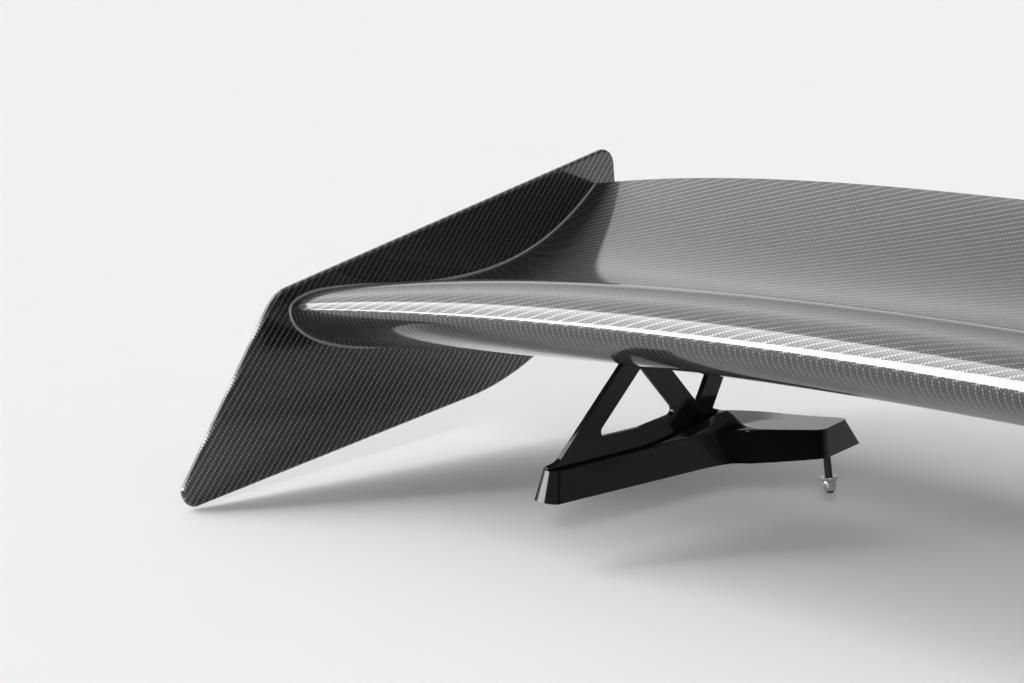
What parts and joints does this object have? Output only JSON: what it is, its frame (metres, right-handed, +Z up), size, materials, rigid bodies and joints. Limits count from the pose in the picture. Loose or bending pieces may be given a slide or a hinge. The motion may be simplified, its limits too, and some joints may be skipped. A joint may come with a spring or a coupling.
{
  "type": "racing rear wing",
  "caption": "Arched carbon rear wing for a racing car: a deep, twisted blade between shaped end plates, on truss uprights whose boomerang feet bolt to the boot lid.",
  "frame": {"origin": "midway between the two toe fixings, on the plane under the feet", "axes": "+X across the span to the car's left, +Y rearward along the car, +Z up"},
  "size_m": [1.5, 0.4903, 0.2504],
  "materials": {
    "carbon": "twill weave under a polished clear coat",
    "bare_carbon": "matt, as moulded",
    "gloss_black": "gloss black powder coat",
    "black_steel": "black oxide",
    "steel": "bright zinc plate",
    "brass": "turned",
    "alloy": "milled"
  },
  "bodies": {
    "wing": {"blade_upper_skin": "carbon", "blade_lower_skin": "carbon", "left_end_plate": "carbon", "right_end_plate": "carbon", "front_spar": "bare_carbon", "rear_spar": "bare_carbon", "left_tip_rib": "bare_carbon", "right_tip_rib": "bare_carbon", "left_upright": "gloss_black", "right_upright": "gloss_black", "left_foot": "gloss_black", "right_foot": "gloss_black", "left_stud": "black_steel", "right_stud": "black_steel", "left_foot_screws": "black_steel", "right_foot_screws": "black_steel", "left_blade_screws": "black_steel", "right_blade_screws": "black_steel", "left_end_plate_screws": "black_steel", "right_end_plate_screws": "black_steel", "left_tip_inserts": "brass", "right_tip_inserts": "brass", "left_toe_insert": "brass", "right_toe_insert": "brass", "left_stud_insert": "brass", "right_stud_insert": "brass", "left_hard_point": "alloy", "right_hard_point": "alloy"},
    "right_nut_stack": {"right_wide_washer": "steel", "right_small_washer": "steel", "right_lock_nut": "steel"},
    "left_nut_stack": {"left_wide_washer": "steel", "left_small_washer": "steel", "left_lock_nut": "steel"}
  },
  "joints": [
    {"name": "right_nut_slide", "type": "slide", "parent": "wing", "child": "right_nut_stack", "axis": [0.1564, 0, -0.9877], "range_m": [-0.0195, 0.004]},
    {"name": "left_nut_slide", "type": "slide", "parent": "wing", "child": "left_nut_stack", "axis": [-0.1564, 0, -0.9877], "range_m": [-0.0195, 0.004]}
  ]
}
